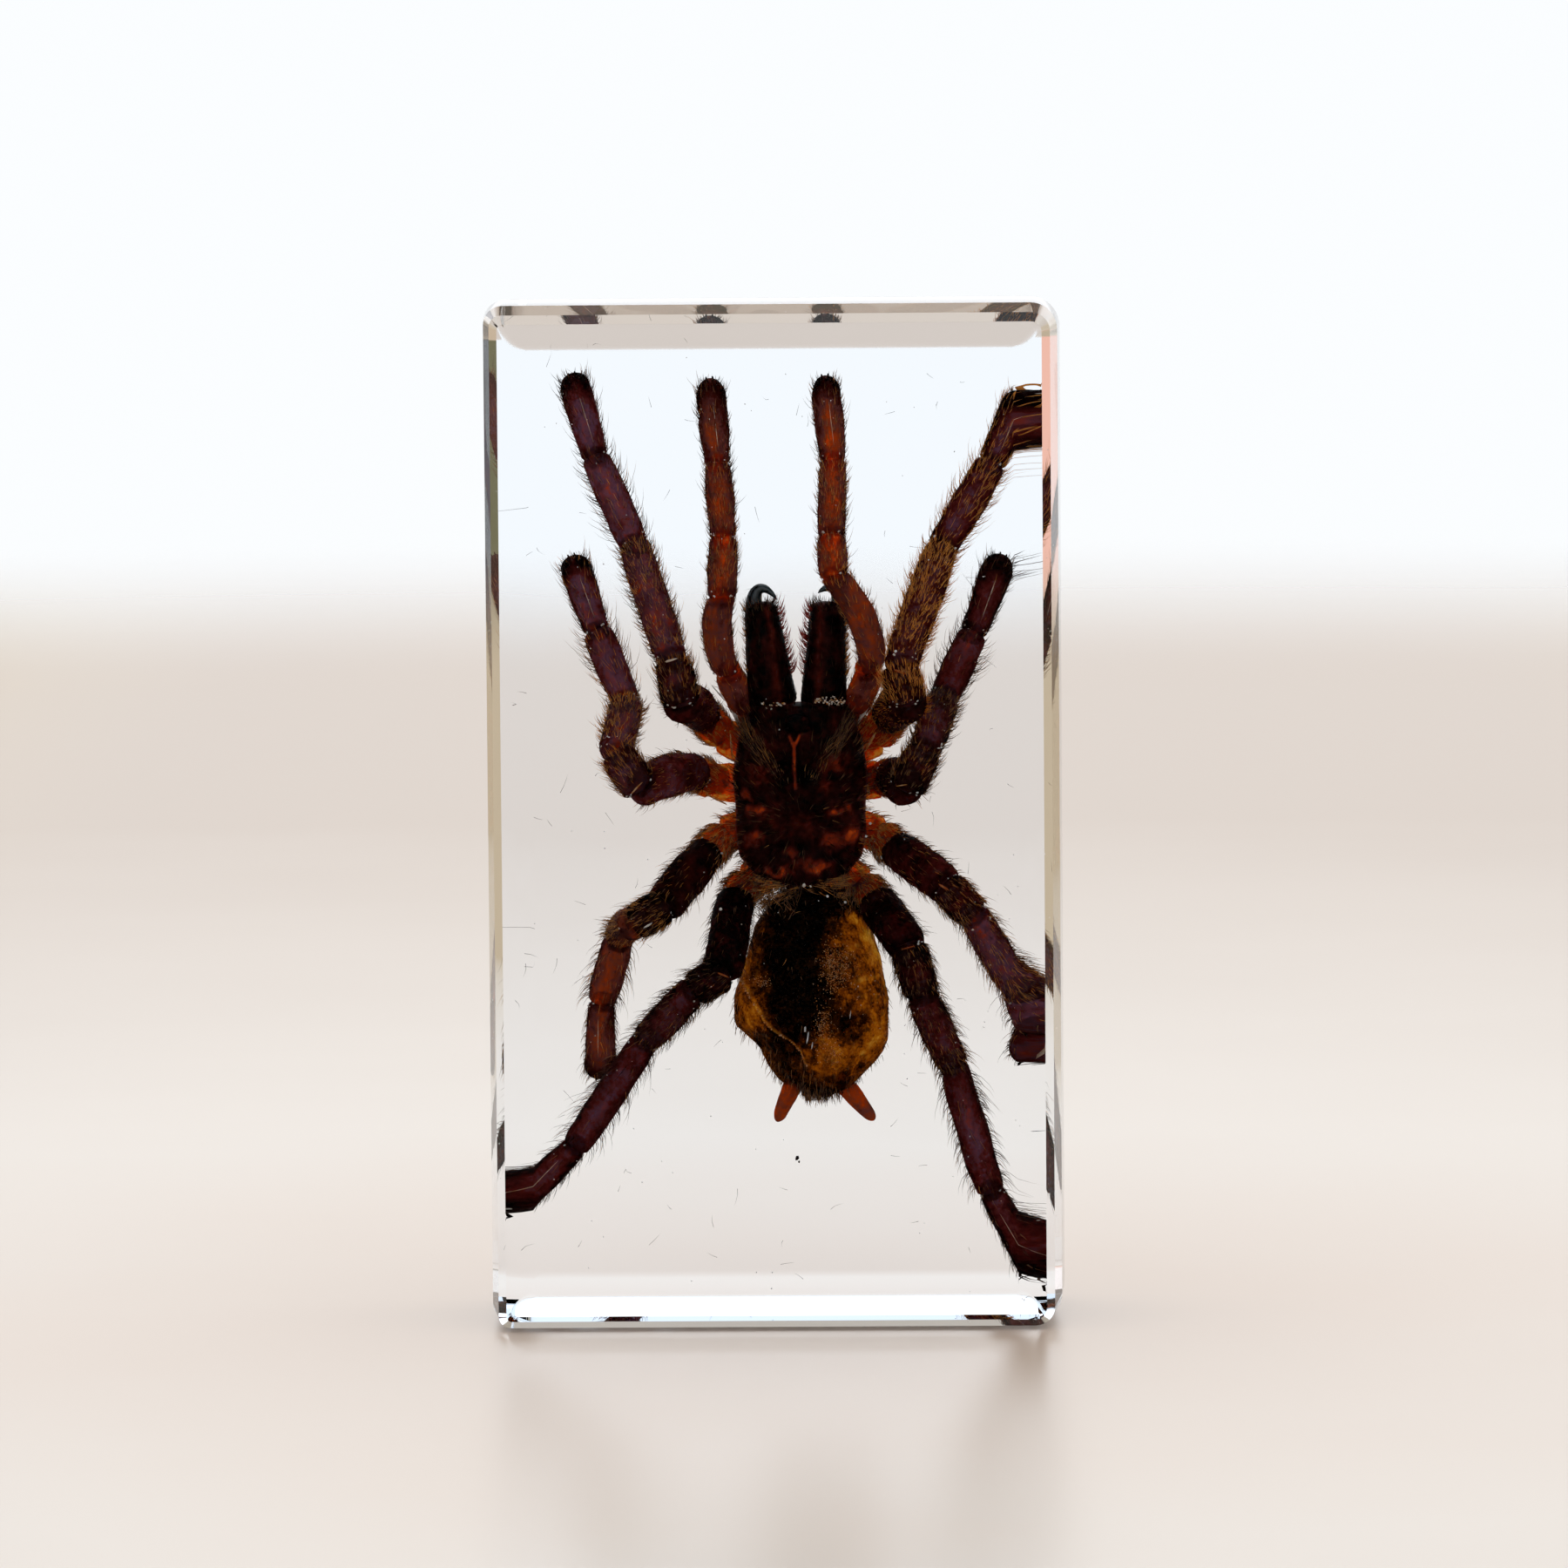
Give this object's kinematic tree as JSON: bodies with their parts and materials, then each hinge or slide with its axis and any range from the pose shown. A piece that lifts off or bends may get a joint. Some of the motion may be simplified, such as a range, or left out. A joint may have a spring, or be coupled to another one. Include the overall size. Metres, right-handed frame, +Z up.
{
  "type": "tarantula in resin block",
  "caption": "Upright clear resin block with rolled and bevelled edges and a flat base, holding a dried tarantula sealed inside, seen from its back.",
  "frame": {"origin": "middle of the flat base", "axes": "+Z up along the block's height, +X to the viewer's right, -Y out of the viewing face that the spider's back is turned to"},
  "size_m": [0.062, 0.027, 0.11],
  "materials": {
    "clear_resin": "polished",
    "dark_cuticle": "satin",
    "amber_skin": "satin",
    "setae": "matte",
    "air_film": "gloss"
  },
  "bodies": {
    "root": {"resin_block": "clear_resin"}
  },
  "joints": []
}
